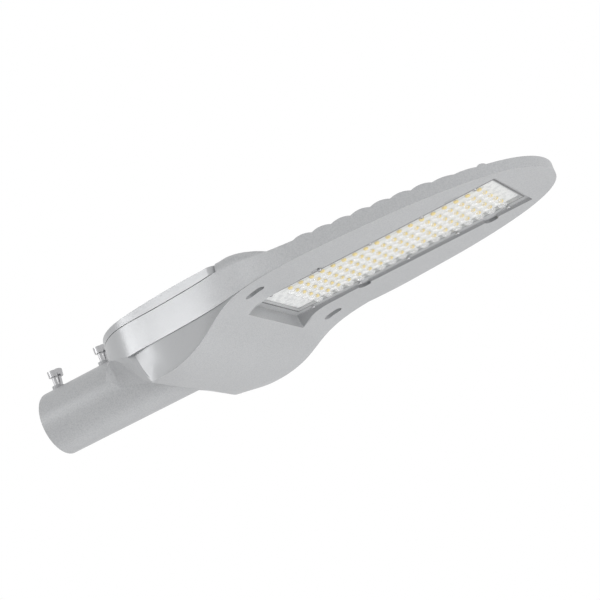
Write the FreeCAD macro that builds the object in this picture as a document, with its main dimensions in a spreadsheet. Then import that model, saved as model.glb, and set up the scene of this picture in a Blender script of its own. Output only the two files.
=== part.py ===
import FreeCAD, Part
import math
import os
import re

import Sketcher

# LED street light head: a die-cast body with its own spigot, a driver compartment under a
# screwed cover, and a flat blade that carries the LED module behind a one-piece lens.
# Millimetres. The origin is the centre of the spigot's mouth. X runs along the spigot to the
# blade's tip, Z points up, and light leaves downwards.

V = FreeCAD.Vector
UP = V(0, 0, 1)
ALONG = V(1, 0, 0)
ACROSS = V(0, 1, 0)

doc = FreeCAD.newDocument("StreetLightHead")
sheet = doc.addObject("Spreadsheet::Sheet", "Sizes")

SIZES = {
    "spigot_radius": 35, "bore_radius": 31, "bore_length": 92, "relief_radius": 31.6,
    "relief_length": 1.5, "stop_wall": 9.5, "tube_end": 104, "chute_radius": 30.5, "chute_end": 190,
    "rear_end": 95, "tip_end": 592, "skin_level": 0.5, "seam_level": 31, "seam_gap": 0.8,
    "side_wall": 4.5, "shelf_level": 4.5, "shelf_rear": 142, "front_wall": 268,
    "cover_front": 277, "cover_gap": 0.3, "cover_skin": 3, "cover_rim": 5, "cover_corner": 9,
    "seal_inset": 1.3, "seal_width": 2, "seal_depth": 2,
    "window_rear": 276.5, "window_front": 551.7, "window_half": 51.5, "window_flare": 0.6,
    "ledge_level": 3.7, "ceiling_level": 8.6,
    "pocket_rear": 286.3, "pocket_front": 545.5, "pocket_half": 41.5,
    "rib_first": 378, "rib_pitch": 19.6, "rib_thick": 7, "rib_count": 9, "rib_crest": 2.1,
    "slot_rear_place": 302.6, "slot_rear_offset": 86, "slot_rear_length": 21, "slot_rear_width": 9.5,
    "slot_rear_depth": 7,
    "notch_first": 358.5, "notch_second": 506, "notch_offset": 54, "notch_length": 14,
    "notch_width": 10,
    "lens_gap": 0.6, "lens_face": 2.2,
    "dome_radius": 5.2, "dome_shoulder": 4.1, "dome_crown": 2, "dome_step": 1.9, "dome_height": 3.2,
    "lens_seal_width": 2, "lens_seal_depth": 1.3, "lens_seal_margin": 2.8,
    "led_first": 315.3, "led_pitch": 12.5, "led_row_pitch": 15, "led_side": 3.6, "led_thick": 0.7,
    "board_thick": 1.6, "board_gap": 0.5, "pad_thick": 0.5, "pad_rear": 307,
    "screw_offset": 47, "screw_first": 300, "screw_pitch": 57, "lens_head_radius": 2.3,
    "lens_head_height": 1.2, "lens_shank_radius": 1.4, "lens_screw_depth": 3,
    "link_rear": 292, "link_length": 10, "link_half": 5, "link_height": 4.4,
    "hatch_front": 306, "hatch_half": 9, "hatch_level": 14.5,
    "lead_level": 11.3, "lead_radius": 1.6, "lead_hole": 3.2, "grommet_lip": 5, "lip_thick": 1.5,
    "boss_radius": 6, "cover_shank": 1.95, "cover_hole": 2, "cover_head": 4, "cover_head_height": 2.5,
    "cover_screw_depth": 12, "cover_sink": 4.3, "screw_seat": 35.5,
    "tray_rear": 190, "tray_front": 253, "tray_half": 70, "tray_level": -16, "tray_thick": 2,
    "driver_rear": 192, "driver_front": 250, "driver_half": 58, "driver_height": 33,
    "driver_foot": 9, "foot_thick": 3, "driver_round": 2,
    "tray_screw_rear": 196, "tray_screw_front": 244, "tray_screw_offset": 64,
    "post_radius": 5, "small_shank": 1.45, "small_hole": 1.5, "small_head": 3, "small_head_height": 2,
    "terminal_rear": 143, "terminal_length": 24, "terminal_low": 36, "terminal_width": 38,
    "terminal_height": 16,
    "surge_rear": 144, "surge_length": 34, "surge_width": 34, "surge_height": 20,
    "gland_hole": 8, "gland_flange": 12.5, "gland_flange_thick": 5, "gland_dome": 10,
    "gland_length": 17, "gland_way": 4.5, "grommet_length": 12,
    "earth_place": 152, "earth_offset": -75.6,
    "set_place": 12.5, "set_second": 75, "set_angle": 6.5, "set_shank": 2.4,
    "set_head": 4.9, "set_head_height": 7, "set_socket": 2.5, "set_socket_depth": 4,
    "set_high": 58, "set_low": 55, "set_tip": 31.6, "pad_radius": 5.2, "pad_top": 38.4,
}


def fill_sheet():
    """One row for each size, with its name as the cell's alias."""
    for row, (name, value) in enumerate(SIZES.items(), start=1):
        cell = "B%d" % row
        sheet.set("A%d" % row, name)
        sheet.set(cell, str(value))
        sheet.setAlias(cell, name)
    doc.recompute()


fill_sheet()


def size(name):
    return float(getattr(sheet, name))


def bound(text):
    """Turns plain size names into cell references, such as tip_end - 2."""
    return re.sub(r"[a-z_]+", lambda word: "Sizes." + word.group(), text)


def bind(obj, **sizes):
    for prop, text in sizes.items():
        obj.setExpression(prop.replace("__", "."), bound(str(text)))
    return obj


def place(obj, x="0", y="0", z="0"):
    for axis, text in (("x", x), ("y", y), ("z", z)):
        obj.setExpression("Placement.Base." + axis, bound(str(text)))
    return obj


def box(name, low, high):
    """A block between two corners, each given as three expressions."""
    item = doc.addObject("Part::Box", name)
    sides = ["(%s) - (%s)" % (b, a) for a, b in zip(low, high)]
    bind(item, Length=sides[0], Width=sides[1], Height=sides[2])
    return place(item, *low)


def rod(name, direction, start, radius, length):
    """A cylinder from a start point along an axis of the frame."""
    item = doc.addObject("Part::Cylinder", name)
    item.Placement = FreeCAD.Placement(V(), FreeCAD.Rotation(UP, direction))
    bind(item, Radius=radius, Height=length)
    return place(item, *start)


def joined(name, parts):
    item = doc.addObject("Part::MultiFuse", name)
    item.Shapes = parts
    return item


def minus(name, base, tool):
    item = doc.addObject("Part::Cut", name)
    item.Base = base
    item.Tool = tool
    return item


def shared(name, parts):
    item = doc.addObject("Part::MultiCommon", name)
    item.Shapes = parts
    return item


def gathered(name, parts):
    item = doc.addObject("Part::Compound", name)
    item.Links = parts
    return item


def fixed_shape(name, shape):
    item = doc.addObject("Part::Feature", name)
    item.Shape = shape
    return item


def pushed(name, face, direction, length):
    """A face extruded along an axis, with its length bound to the sheet."""
    base = fixed_shape(name + "_face", face)
    item = doc.addObject("Part::Extrusion", name)
    item.Base = base
    item.DirMode = "Custom"
    item.Dir = direction
    item.Solid = True
    return bind(item, LengthFwd=length)


def smooth(points, closed=False):
    """A smooth curve through points."""
    curve = Part.BSplineCurve()
    curve.interpolate(Points=points, PeriodicFlag=closed)
    return curve


# Plan of the body: half widths from the compartment's round rear end, along its narrow waist,
# over the blade's widest place and round the tip.
HALF_PLAN = [(99, 28), (110, 53), (127, 73), (149, 85.4), (184, 88.5), (216, 90.5), (249, 94),
             (275, 99.3), (305, 107.6), (340, 112.4), (375, 112.5), (408, 108.8), (458, 101.8),
             (504, 90), (548, 70.5), (573, 50), (587, 27)]


def plan_curve(inset=0.0):
    """The closed outline in plan, through both halves, moved inwards by an inset."""
    left = [V(x, y, 0) for x, y in HALF_PLAN]
    right = [V(x, -y, 0) for x, y in reversed(HALF_PLAN)]
    points = [V(size("rear_end"), 0, 0)] + left + [V(size("tip_end"), 0, 0)] + right
    curve = smooth(points, True)
    if inset == 0.0:
        return curve
    moved = []
    for point in points:
        along = curve.tangent(curve.parameter(point))[0]
        moved.append(point + V(along.y, -along.x, 0) * inset)
    return smooth(moved, True)


PLAN = plan_curve()


def half_width(x):
    """Half width of the plan at a place along the body."""
    cut = Part.LineSegment(V(x, 0, 0), V(x, 200, 0))
    return max(hit.Y for hit in PLAN.intersect(cut))


def plan_face(inset, level):
    """The whole plan as a flat face at a level."""
    face = Part.Face(Part.Wire([plan_curve(inset).toShape()]))
    face.translate(UP * level)
    return face


def straight_face(corners, width):
    points = [V(x, -width, z) for x, z in corners]
    return Part.Face(Part.makePolygon(points + points[:1]))


HALF_SPAN = 130.0
SPAN = "260"

# Top edge of the smooth side wall: level along the compartment, then falling to the blade.
WALL_TOP = [(262, 31), (272, 30.9), (282, 30.2), (294, 28.6), (309, 25.8), (323, 22.7), (340, 20.1),
            (358, 18.1), (372, 17), (400, 15.6), (450, 14), (500, 12.5), (545, 11.6), (600, 11.4)]
WALL_CURVE = smooth([V(x, 0, z) for x, z in WALL_TOP])

# Bottom edge of the compartment's wall where it rises over the neck.
WALL_FOOT = [(80, 36), (97, 27), (112, 17), (119.8, 12.2), (127.4, 8.6), (133.1, 6.3), (140.1, 3.8),
             (149.8, 0.5), (156, -1.5)]

# Top line of the cover: low over the spigot, highest over the driver.
COVER_TOP = [(80, 38.4), (115, 38.6), (145, 38.8), (165, 39.8), (185, 41.2), (210, 41.9), (238, 41.6),
             (262, 40.3), (285, 39.2)]


def wall_top(x):
    cut = Part.LineSegment(V(x, 0, -50), V(x, 0, 90))
    return WALL_CURVE.intersect(cut)[0].Z


def line_edges(points):
    return [Part.LineSegment(a, b).toShape() for a, b in zip(points, points[1:])]


def across(name, edges):
    """A closed outline seen from the side, extruded over the whole width."""
    face = Part.Face(Part.Wire(edges))
    face.translate(ACROSS * -HALF_SPAN)
    return pushed(name, face, ACROSS, SPAN)


def under_line(name, line, low, drop=0.0):
    """Everything below a smooth line seen from the side, and above a level."""
    points = [V(x, 0, z - drop) for x, z in line]
    corners = [points[-1], V(points[-1].x, 0, low), V(points[0].x, 0, low), points[0]]
    return across(name, [smooth(points).toShape()] + line_edges(corners))


def rib_crests():
    """Round crests that meet in sharp valleys on the wall's top line, the last ones lower."""
    pitch, count = size("rib_pitch"), int(size("rib_count"))
    start = size("rib_first") - pitch / 2
    spans = [(start + i * pitch, pitch, size("rib_crest")) for i in range(count)]
    spans[-2] = spans[-2][:2] + (size("rib_crest") * 0.6,)
    spans[-1] = spans[-1][:2] + (size("rib_crest") * 0.35,)
    spans.append((start + count * pitch, 8.0, size("rib_crest") * 0.9))
    edges = []
    for rear, length, height in spans:
        a = V(rear, 0, wall_top(rear))
        b = V(rear + length, 0, wall_top(rear + length))
        crest = V(rear + length / 2, 0, wall_top(rear + length / 2) + height)
        edges.append(Part.Arc(a, crest, b).toShape())
    return edges


def upper_body():
    """Compartment wall and blade: the plan extruded, under the falling and ribbed top line."""
    prism = pushed("upper_prism", plan_face(0.0, size("skin_level")), UP, "seam_level - skin_level")
    low = size("skin_level") - 2
    ribs = rib_crests()
    first = ribs[0].Vertexes[0].Point
    last = ribs[-1].Vertexes[-1].Point
    fall = [V(x, 0, z) for x, z in WALL_TOP if x < first.x - 5] + [first]
    corners = [last, V(600, 0, WALL_TOP[-1][1]), V(600, 0, low), V(80, 0, low),
               V(80, 0, size("seam_level")), fall[0]]
    profile = across("side_prism", [smooth(fall).toShape()] + ribs + line_edges(corners))
    foot = under_line("wall_foot", WALL_FOOT, -5)
    return minus("upper_body", shared("upper_blank", [prism, profile]), foot)


def section(x, half):
    """A closed wire across the body from the right half of its points."""
    points = [V(x, y, z) for y, z in half] + [V(x, -y, z) for y, z in reversed(half)]
    return Part.makePolygon(points + points[:1])


# Roof ahead of the cover: place along the body and crest level, with a rounded shoulder.
ROOF = [(277.3, 40.8), (286, 40.1), (292, 39.6), (298, 38.5), (304, 36.9), (310, 35), (316, 32.7),
        (322, 30.1), (328, 27.3), (334, 23.8), (341, 20.4), (350, 18.2)]
SHOULDER_WIDTH = 6.0

# A narrow ledge is left where one surface of the casting stands on another, and the surface
# starts a little below it.
LEDGE = 0.8
SUNK = 0.6


def roof():
    wires = []
    for x, crest in ROOF:
        edge = half_width(x) - LEDGE
        foot = wall_top(x) - SUNK
        inner = edge - SHOULDER_WIDTH
        low = foot - 5
        a, b = V(x, edge, foot), V(x, inner, crest)
        middle = V(x, edge - 0.3 * SHOULDER_WIDTH, foot + 0.72 * (crest - foot))
        right = Part.Arc(a, middle, b).toShape()
        left = Part.Arc(V(x, -inner, crest), V(x, -middle.y, middle.z), V(x, -edge, foot)).toShape()
        base = line_edges([V(x, -edge, foot), V(x, -edge, low), V(x, edge, low), a])
        wires.append(Part.Wire([right] + line_edges([b, V(x, -inner, crest)]) + [left] + base))
    return fixed_shape("roof", Part.makeLoft(wires, True, False))


# The belly under the compartment: place, half width of its lip, level of its lip, and how far
# its middle hangs below the lip. Ahead of the compartment it is hollowed instead.
BELLY = [(140, 80, -32.5, 3), (160, 84.5, -33.6, 4), (174, 87.5, -34.4, 5), (188, 92.8, -35.6, 4.6),
         (205, 97.8, -36.2, 3.2), (222, 102.6, -34, 2.4), (240, 107, -29, 1.8), (259, 110.6, -19.8, 0.6),
         (278, 112.8, -9.8, -1.2), (296, 113.6, -4, -1.8), (315, 113.1, -1, -1), (336, 111.9, 0.55, 0.1)]
REAR_FOOT, REAR_BOW, REAR_SLOPE = 172.2, 7.5, 0.537


def belly_rear():
    """Room behind the belly: its rear end leans forward as it goes down, and bows in plan."""
    low, high = -42.0, 12.0
    bow = Part.Arc(V(REAR_FOOT, -83.5, low), V(REAR_FOOT + REAR_BOW, 0, low), V(REAR_FOOT, 83.5, low))
    ends = [V(REAR_FOOT, 83.5, low), V(REAR_FOOT - 16, HALF_SPAN, low), V(100, HALF_SPAN, low),
            V(100, -HALF_SPAN, low), V(REAR_FOOT - 16, -HALF_SPAN, low), V(REAR_FOOT, -83.5, low)]
    face = Part.Face(Part.Wire([bow.toShape()] + line_edges(ends)))
    return fixed_shape("belly_rear", face.extrude(V(-REAR_SLOPE, 0, 1) * (high - low)))


def belly():
    """Skin that swells from the blade's flat underside down to the spigot's lowest line."""
    level = size("skin_level")
    wires = []
    for x, lip, low, hang in BELLY:
        top = half_width(x)
        upper = min(top, lip) - LEDGE
        points = [V(x, -lip, low), V(x, -lip * 0.66, low - hang), V(x, 0, low - hang * 1.15),
                  V(x, lip * 0.66, low - hang), V(x, lip, low)]
        corners = [V(x, lip, low), V(x, upper, level + 0.1), V(x, upper - 1.5, level + 5.5),
                   V(x, -upper + 1.5, level + 5.5), V(x, -upper, level + 0.1), V(x, -lip, low)]
        wires.append(Part.Wire([smooth(points).toShape()] + line_edges(corners)))
    skin = fixed_shape("belly_skin", Part.makeLoft(wires, True, False))
    return minus("belly", skin, belly_rear())


# The neck that flares from the spigot to the compartment: place, foot on the spigot, inner edge
# of the strip along the compartment's rear corner, the strip's outer edge, and an upper corner
# inside the wall.
NECK = [(87, (33.9, -8), (34.3, 5.2), (34.35, 5.8), (21, 27)),
        (94.6, (34.93, -1.5), (37, 16.4), (37, 17), (25, 28)),
        (102, (34.2, -7.2), (40.4, 19.4), (40.5, 20), (33, 28)),
        (106, (34, -8.2), (47.3, 19.2), (47.5, 19.8), (40, 29)),
        (112, (33.7, -9.6), (55.7, 16.2), (56, 16.8), (50, 29)),
        (119.8, (33.2, -11.3), (66.3, 11.5), (66.7, 12.1), (61, 29)),
        (127.4, (32.2, -14), (72.7, 7.9), (73.1, 8.5), (67, 29)),
        (134, (30.9, -16.8), (77.3, 3.8), (77.8, 5.9), (72, 29)),
        (141, (28.4, -20.6), (78.7, -5.9), (81.9, 3.4), (76, 28)),
        (149.6, (24, -25.6), (79.6, -17.8), (85.2, 0.5), (79, 28)),
        (155, (20.6, -28.5), (80.3, -25.2), (85.1, -9), (79, 20)),
        (162, (15.6, -31.4), (82, -31.6), (85.3, -22), (79, 10)),
        (168.5, (5, -34.7), (84.4, -34), (85.4, -33.4), (79, 0)),
        (173, (4, -34.9), (84, -35.4), (85.2, -34.8), (79, -8))]


def neck():
    """Gusset, strip and the groove between them, in straight-sided sections."""
    wires = []
    for x, foot, inner, ridge, upper in NECK:
        run = V(0, foot[0] - inner[0], foot[1] - inner[1]).normalize()
        depth = min(1.4, 0.25 * math.dist(inner, ridge))
        groove = (inner[0] - depth, inner[1] + depth)
        lip = (inner[0] + run.y * 1.8 * depth, inner[1] + run.z * 1.8 * depth)
        wires.append(section(x, [foot, lip, groove, inner, ridge, upper]))
    return fixed_shape("neck", Part.makeLoft(wires, True, True))


def spigot():
    """Tube, its lower half run on under the compartment, and the pads of the set screws."""
    tube = rod("spigot_tube", ALONG, ("0", "0", "0"), "spigot_radius", "tube_end")
    round_keel = rod("round_keel", ALONG, ("tube_end - 1", "0", "0"), "spigot_radius",
                     "chute_end - tube_end - 1")
    keel_room = box("above_keel", ("tube_end - 2", "-spigot_radius - 1", "0"),
                    ("chute_end", "spigot_radius + 1", "spigot_radius + 1"))
    keel = minus("keel", round_keel, keel_room)
    lid_room = box("lid_room", ("rear_end - 0.2", "-spigot_radius", "seam_level"),
                   ("tube_end + 1", "spigot_radius", "spigot_radius + 1"))
    pads = set_screw_rods("pad", "pad_radius", "bore_radius + 2", "pad_top - bore_radius - 2")
    return minus("spigot", joined("spigot_blank", [tube, keel] + pads), lid_room)


def set_screw_rods(name, radius, start, length):
    """One radial cylinder at each set screw's place."""
    rods = []
    for station in ("set_place", "set_second"):
        for side in (-1, 1):
            item = doc.addObject("Part::Cylinder", "%s_%s_%d" % (name, station, side + 1))
            bind(item, Radius=radius, Height=length)
            angle = math.radians(size("set_angle")) * side
            axis = V(0, math.sin(angle), math.cos(angle))
            item.Placement = FreeCAD.Placement(V(), FreeCAD.Rotation(UP, axis))
            place(item, station, "%.6f * (%s)" % (axis.y, start), "%.6f * (%s)" % (axis.z, start))
            rods.append(item)
    return rods


def rib_comb():
    """Cooling fins on the crests: a comb of plates under one crowned envelope."""
    plates = []
    for index in range(int(size("rib_count"))):
        start = "rib_first + %d * rib_pitch - rib_thick / 2" % index
        plates.append(box("rib_%d" % index, (start, "-110", "9.5"), (start + " + rib_thick", "110", "40")))
    wires = []
    for x in (368, 410, 450, 490, 520, 548):
        edge = half_width(x) - 9
        foot = wall_top(x)
        swell = 1.1 + (edge - 50) * 0.13
        arc = Part.Arc(V(x, edge, foot), V(x, 0, foot + swell), V(x, -edge, foot)).toShape()
        base = line_edges([V(x, -edge, foot), V(x, -edge, foot - 2), V(x, edge, foot - 2), V(x, edge, foot)])
        wires.append(Part.Wire([arc] + base))
    envelope = fixed_shape("rib_envelope", Part.makeLoft(wires, True, False))
    return shared("ribs", [joined("rib_plates", plates), envelope])


# Outline, seen from the side, of the space inside the compartment.
CHAMBER_LOW = [(163, 4.6), (187, -30), (212, -31.2), (232, -26.6), (250, -19.6), (264, -11), (264, 4.6)]
CHAMBER_FLOOR = [(134, 7.5), (120, 12.3), (112, 15.5), (103, 20)]


def chamber():
    """Room for the gear: above the shelf over the whole plan, below it round the spigot."""
    inside = pushed("chamber_plan", plan_face(size("side_wall"), -40), UP, "seam_level + 45")
    shelf, top, front = size("shelf_level"), size("seam_level") + 1, size("front_wall")
    outline = [(front, top), (front, shelf), (size("shelf_rear"), shelf)] + CHAMBER_FLOOR
    outline.append((CHAMBER_FLOOR[-1][0], top))
    high = pushed("chamber_high", straight_face(outline, HALF_SPAN), ACROSS, SPAN)
    low = pushed("chamber_low", straight_face(CHAMBER_LOW, HALF_SPAN), ACROSS, SPAN)
    keel_room = rod("keel_room", ALONG, ("0", "0", "0"), "spigot_radius", "chute_end - 2")
    around = minus("chamber_around", low, keel_room)
    room = shared("chamber_room", [joined("chamber_sides", [high, around]), inside])
    bosses = [rod("wall_boss_%d" % i, UP, (x, y, "skin_level + 2"), "boss_radius", "seam_level - skin_level - 2")
              for i, (x, y) in enumerate(COVER_SCREWS)]
    posts = [rod("post_%d" % i, UP, (x, y, "-33"), "post_radius", "tray_level + 33")
             for i, (x, y) in enumerate(TRAY_SCREWS)]
    return minus("chamber", room, joined("chamber_posts", bosses + posts))


COVER_SCREWS = [("112", "40"), ("112", "-40"), ("184", "79.5"), ("184", "-79.5"), ("258", "85.5"),
                ("258", "-85.5")]
TRAY_SCREWS = [("tray_screw_rear", "tray_screw_offset"), ("tray_screw_rear", "-tray_screw_offset"),
               ("tray_screw_front", "tray_screw_offset"), ("tray_screw_front", "-tray_screw_offset")]
LENS_SCREWS = [("screw_first + %d * screw_pitch" % i, "%s screw_offset" % sign)
               for i in range(5) for sign in ("", "-1 *")]


def oblong(name, centre, length, width, low, high):
    """A slot with round ends, lengthwise along the body."""
    x, y = centre
    reach = "(%s - %s) / 2" % (length, width)
    middle = box(name + "_middle", ("%s - %s" % (x, reach), "%s - %s / 2" % (y, width), low),
                 ("%s + %s" % (x, reach), "%s + %s / 2" % (y, width), high))
    ends = [rod(name + "_end_%d" % i, UP, ("%s %s %s" % (x, sign, reach), y, low), "%s / 2" % width,
                "(%s) - (%s)" % (high, low)) for i, sign in enumerate("+-")]
    return joined(name, [middle] + ends)


def ring(name, rear, front, half, width, low, high):
    outer = box(name + "_outer", (rear, "-1 * (%s)" % half, low), (front, half, high))
    inner = box(name + "_inner", ("%s + %s" % (rear, width), "-1 * (%s) + %s" % (half, width), low + " - 1"),
                ("%s - %s" % (front, width), "%s - %s" % (half, width), high + " + 1"))
    return minus(name, outer, inner)


def lens_seal_ring(name):
    return ring(name, "pocket_rear - lens_seal_margin", "pocket_front + lens_seal_margin",
                "pocket_half + lens_seal_margin", "lens_seal_width", "ledge_level",
                "ledge_level + lens_seal_depth")


def cover_seal_ring(name, height):
    """A band that follows the compartment's rim and crosses its front wall."""
    outer_inset = size("seal_inset")
    inner_inset = outer_inset + size("seal_width")
    bodies = []
    for label, inset, front in (("outer", outer_inset, "front_wall + seal_inset + seal_width"),
                                ("inner", inner_inset, "front_wall + seal_inset")):
        prism = pushed("%s_%s_plan" % (name, label), plan_face(inset, size("seam_level") - size("seal_depth")),
                       UP, height)
        limit = box("%s_%s_limit" % (name, label), ("0", "-120", "0"), (front, "120", "60"))
        bodies.append(shared("%s_%s" % (name, label), [prism, limit]))
    return minus(name, bodies[0], bodies[1])


def window_cuts():
    """Recess for the lens with the notches beside it, and the slots behind it."""
    ledge, low, half = size("ledge_level"), -14.0, size("window_half")
    wide = half + (ledge - low) * size("window_flare")
    rear = size("window_rear")
    outline = [V(rear, y, z) for y, z in ((-half, ledge), (-wide, low), (-wide, -40), (wide, -40),
                                          (wide, low), (half, ledge), (-half, ledge))]
    face = Part.Face(Part.makePolygon(outline))
    cuts = [pushed("recess", face, ALONG, "window_front - window_rear")]
    for i, sign in enumerate(("", "-1 *")):
        cuts.append(oblong("slot_%d" % i, ("slot_rear_place", sign + " slot_rear_offset"),
                           "slot_rear_length", "slot_rear_width", "-20", "slot_rear_depth - 3"))
        for j, place_name in enumerate(("notch_first", "notch_second")):
            cuts.append(oblong("notch_%d_%d" % (i, j), (place_name, sign + " notch_offset"),
                               "notch_length", "notch_width", "-20", "ledge_level"))
    return joined("window_cuts", cuts)


def board_cuts():
    """Pocket for the board, room for its connector, the seal's groove and the screw holes."""
    pocket = box("pocket", ("pocket_rear", "-pocket_half", "ledge_level - 1"),
                 ("pocket_front", "pocket_half", "ceiling_level"))
    hatch = box("hatch", ("pocket_rear", "-hatch_half", "ledge_level"),
                ("hatch_front", "hatch_half", "hatch_level"))
    lead_way = rod("lead_way", ALONG, ("front_wall - 6", "0", "lead_level"), "lead_hole",
                   "pocket_rear - front_wall + 7")
    cuts = [pocket, hatch, lead_way, lens_seal_ring("lens_groove")]
    for i, (x, y) in enumerate(LENS_SCREWS):
        cuts.append(rod("lens_hole_%d" % i, UP, (x, y, "ledge_level - 1"), "lens_shank_radius + 0.05",
                        "lens_screw_depth + 1.2"))
    return joined("board_cuts", cuts)


def spigot_cuts():
    bore = rod("bore", ALONG, ("-1", "0", "0"), "bore_radius", "bore_length + 1")
    relief = rod("relief", ALONG, ("bore_length", "0", "0"), "relief_radius", "relief_length")
    chute = rod("chute", ALONG, ("bore_length + stop_wall", "0", "0"), "chute_radius",
                "chute_end - bore_length - stop_wall")
    seat = rod("gland_seat", ALONG, ("bore_length - 1", "0", "0"), "gland_hole", "stop_wall + 2")
    ways = set_screw_rods("set_way", "set_shank", "bore_radius - 4", "pad_top - bore_radius + 6")
    return joined("spigot_cuts", [bore, relief, chute, seat] + ways)


def screw_cuts():
    cuts = [cover_seal_ring("cover_groove", "seal_depth")]
    for i, (x, y) in enumerate(COVER_SCREWS):
        cuts.append(rod("boss_hole_%d" % i, UP, (x, y, "seam_level - cover_screw_depth - 1"), "cover_hole",
                        "cover_screw_depth + 2"))
    for i, (x, y) in enumerate(TRAY_SCREWS):
        cuts.append(rod("post_hole_%d" % i, UP, (x, y, "tray_level - 7"), "small_hole", "8"))
    cuts.append(rod("earth_hole", UP, ("earth_place", "earth_offset", "shelf_level - 3"), "small_hole", "4"))
    return joined("screw_cuts", cuts)


def housing():
    casting = joined("casting_blank", [upper_body(), roof(), belly(), neck(), spigot(), rib_comb()])
    for stage, tool in enumerate((chamber(), spigot_cuts(), window_cuts(), board_cuts(), screw_cuts())):
        casting = minus("casting_%d" % stage, casting, tool)
    return named(casting, "housing")


def top_cover():
    """Crowned cover with a turned-down rim, on bosses that take its screws."""
    plan = pushed("cover_plan", plan_face(0.25, size("seam_level") + size("seam_gap")), UP, "14")
    crown = under_line("cover_crown", COVER_TOP, size("seam_level"))
    limit = box("cover_limit", ("0", "-120", "0"), ("cover_front", "120", "80"))
    blank = shared("cover_blank", [plan, crown, limit])
    corners = filleted("cover_corners", blank, "cover_corner", lambda bounds: bounds.ZLength > 5
                       and bounds.XMin > size("cover_front") - 1)
    inside = pushed("cover_inside_plan", plan_face(size("cover_rim"), size("seam_level") - 1), UP, "14")
    ceiling = under_line("cover_ceiling", COVER_TOP, size("seam_level") - 1, size("cover_skin"))
    inside_limit = box("cover_inside_limit", ("0", "-120", "0"), ("cover_front - cover_rim", "120", "80"))
    pillars = [rod("pillar_%d" % i, UP, (x, y, "seam_level"), "boss_radius", "screw_seat - seam_level + 1")
               for i, (x, y) in enumerate(COVER_SCREWS)]
    hollow = minus("cover_hollow", shared("cover_inside", [inside, ceiling, inside_limit]),
                   joined("pillar_room", pillars))
    room = rod("spigot_room", ALONG, ("0", "0", "0"), "spigot_radius + cover_gap", "tube_end + 1")
    cuts = [hollow, room]
    for i, (x, y) in enumerate(COVER_SCREWS):
        cuts.append(rod("cover_way_%d" % i, UP, (x, y, "seam_level - 1"), "cover_hole + 0.2", "12"))
        cuts.append(rod("cover_sink_%d" % i, UP, (x, y, "screw_seat"), "cover_sink", "9"))
    feet = [rod("pillar_foot_%d" % i, UP, (x, y, "seam_level"), "boss_radius - 0.5", "seam_gap + 1")
            for i, (x, y) in enumerate(COVER_SCREWS)]
    return minus("top_cover", joined("cover_solid", [corners] + feet), joined("cover_cuts", cuts))


def filleted(name, base, radius, wanted):
    """A base with every edge rounded whose bounding box is wanted."""
    doc.recompute()
    item = doc.addObject("Part::Fillet", name)
    item.Base = base
    picks = [i for i, edge in enumerate(base.Shape.Edges, start=1) if wanted(edge.BoundBox)]
    item.Edges = [(i, size(radius), size(radius)) for i in picks]
    return item


def screws(name, places, head_low, head_radius, head_height, shank_radius, shank_low, point_up=False):
    """A group of like screws, each a separate solid: heads above their shanks, or below."""
    items = []
    for i, (x, y) in enumerate(places):
        head = rod("%s_head_%d" % (name, i), UP, (x, y, head_low), head_radius, head_height)
        if point_up:
            start, length = "%s + %s" % (head_low, head_height), shank_low
        else:
            start, length = shank_low, "%s - (%s)" % (head_low, shank_low)
        shank = rod("%s_shank_%d" % (name, i), UP, (x, y, start), shank_radius, length)
        items.append(joined("%s_%d" % (name, i), [head, shank]))
    return gathered(name, items)


def set_screws(name, station):
    """A pair of socket-head set screws on one station of the spigot, one run in deeper."""
    items = []
    for side, top in ((1, "set_high"), (-1, "set_low")):
        angle = math.radians(size("set_angle")) * side
        axis = V(0, math.sin(angle), math.cos(angle))
        parts = []
        for label, radius, start, length in (
                ("shank", "set_shank", "set_tip", "%s - set_tip - set_head_height" % top),
                ("head", "set_head", "%s - set_head_height" % top, "set_head_height"),
                ("socket", "set_socket", "%s - set_socket_depth" % top, "set_socket_depth + 1")):
            kind = "Part::Prism" if label == "socket" else "Part::Cylinder"
            item = doc.addObject(kind, "%s_%s_%d" % (name, label, side + 1))
            bind(item, **{"Circumradius" if label == "socket" else "Radius": radius, "Height": length})
            item.Placement = FreeCAD.Placement(V(), FreeCAD.Rotation(UP, axis))
            place(item, station, "%.6f * (%s)" % (axis.y, start), "%.6f * (%s)" % (axis.z, start))
            parts.append(item)
        solid = joined("%s_solid_%d" % (name, side + 1), parts[:2])
        items.append(minus("%s_%d" % (name, side + 1), solid, parts[2]))
    return gathered(name, items)


def plane_of(body, role):
    return [item for item in body.Origin.OriginFeatures if item.Role == role][0]


def drawn(body, name, role, corners):
    """A closed sketch of straight lines whose corners are bound to the sheet."""
    sketch = body.newObject("Sketcher::SketchObject", name)
    sketch.AttachmentSupport = [(plane_of(body, role), "")]
    sketch.MapMode = "FlatFace"
    values = [(value(a), value(b)) for a, b in corners]
    count = len(values)
    for i in range(count):
        a, b = values[i], values[(i + 1) % count]
        sketch.addGeometry(Part.LineSegment(V(a[0], a[1], 0), V(b[0], b[1], 0)), False)
    for i in range(count):
        sketch.addConstraint(Sketcher.Constraint("Coincident", i, 2, (i + 1) % count, 1))
    for i in range(count):
        for kind, text, number in (("DistanceX", corners[i][0], values[i][0]),
                                   ("DistanceY", corners[i][1], values[i][1])):
            index = sketch.addConstraint(Sketcher.Constraint(kind, -1, 1, i, 1, number))
            sketch.setExpression("Constraints[%d]" % index, bound(text))
    return sketch


def value(text):
    """The number that an expression in size names stands for."""
    probe = doc.getObject("Probe") or doc.addObject("Part::Vertex", "Probe")
    return float(probe.evalExpression(bound(text)))


def rectangle(low, high):
    return [(low[0], low[1]), (high[0], low[1]), (high[0], high[1]), (low[0], high[1])]


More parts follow.
